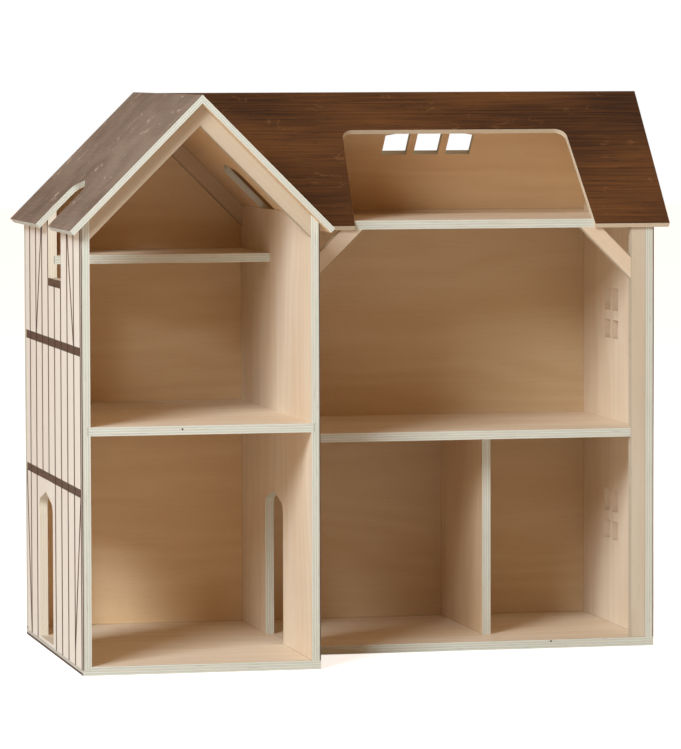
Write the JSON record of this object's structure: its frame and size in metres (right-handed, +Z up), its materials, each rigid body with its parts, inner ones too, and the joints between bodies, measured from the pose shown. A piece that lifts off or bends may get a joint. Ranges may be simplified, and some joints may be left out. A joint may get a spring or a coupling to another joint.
{
  "type": "dollhouse",
  "caption": "Open-fronted wooden dollhouse: a gabled wing beside a wider main house, stained roofs, engraved siding, arched doorways and an open attic hatch.",
  "frame": {"origin": "centre of the bounding box on the underside, the surface it stands on", "axes": "+X to the right seen from the open front, +Y from the front to the back, +Z up"},
  "size_m": [0.655, 0.403, 0.582],
  "materials": {
    "pale_ply": "clear matt, unpainted plywood",
    "stained_ply": "brown stain on the outside, matt"
  },
  "bodies": {
    "root": {"main_attic_floor": "pale_ply", "main_back_wall": "pale_ply", "main_base_board": "pale_ply", "main_brace_left": "pale_ply", "main_brace_right": "pale_ply", "main_first_floor": "pale_ply", "main_partition": "pale_ply", "main_post_left": "pale_ply", "main_post_right": "pale_ply", "main_right_wall": "pale_ply", "main_roof_back_panel": "stained_ply", "main_roof_front_panel": "stained_ply", "wing_attic_floor": "pale_ply", "wing_back_wall": "pale_ply", "wing_base_board": "pale_ply", "wing_first_floor": "pale_ply", "wing_front_rafter_left": "pale_ply", "wing_front_rafter_right": "pale_ply", "wing_left_wall": "pale_ply", "wing_rear_rafter_left": "pale_ply", "wing_rear_rafter_right": "pale_ply", "wing_right_wall": "pale_ply", "wing_roof_left_panel": "stained_ply", "wing_roof_right_panel": "stained_ply"}
  },
  "joints": []
}
